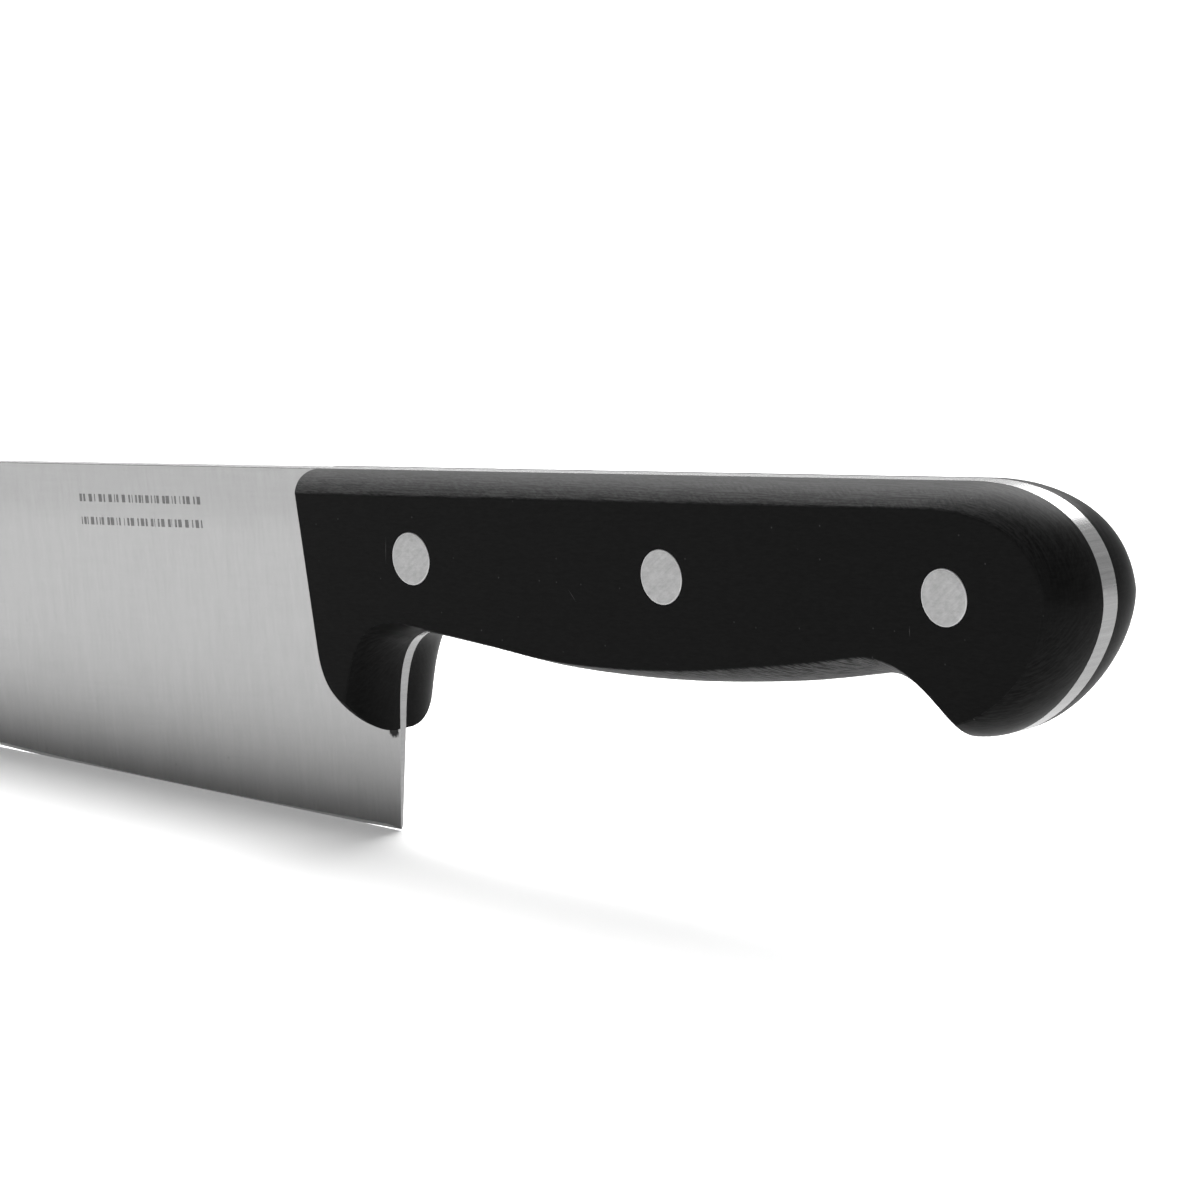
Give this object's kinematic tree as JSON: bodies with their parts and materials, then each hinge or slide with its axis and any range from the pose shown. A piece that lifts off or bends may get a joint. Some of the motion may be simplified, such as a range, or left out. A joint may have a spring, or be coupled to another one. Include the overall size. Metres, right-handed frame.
{
  "type": "chef knife",
  "caption": "Wide pointed kitchen blade ground in one piece with a full tang, held between moulded black handle scales by compression rivets, for slicing and chopping food.",
  "frame": {"origin": "middle of the overall length, on the blade's mid-plane, at the lowest point of the cutting edge", "axes": "+X from tip to butt along the spine, +Y to the knife's right side, +Z from the cutting edge up to the spine"},
  "size_m": [0.3196, 0.0148, 0.0444],
  "materials": {
    "blade_steel": "satin stainless steel, fine grinding lines from spine to edge, thin polished bevel at the edge",
    "scale_polymer": "black acetal, matt flat sides, crowned edges with fine sanding lines",
    "rivet_metal": "satin, ground flush with the handle's flat sides"
  },
  "bodies": {
    "root": {"blade": "blade_steel", "left_scale": "scale_polymer", "right_scale": "scale_polymer", "front_rivet_male": "rivet_metal", "front_rivet_female": "rivet_metal", "middle_rivet_male": "rivet_metal", "middle_rivet_female": "rivet_metal", "rear_rivet_male": "rivet_metal", "rear_rivet_female": "rivet_metal"}
  },
  "joints": []
}
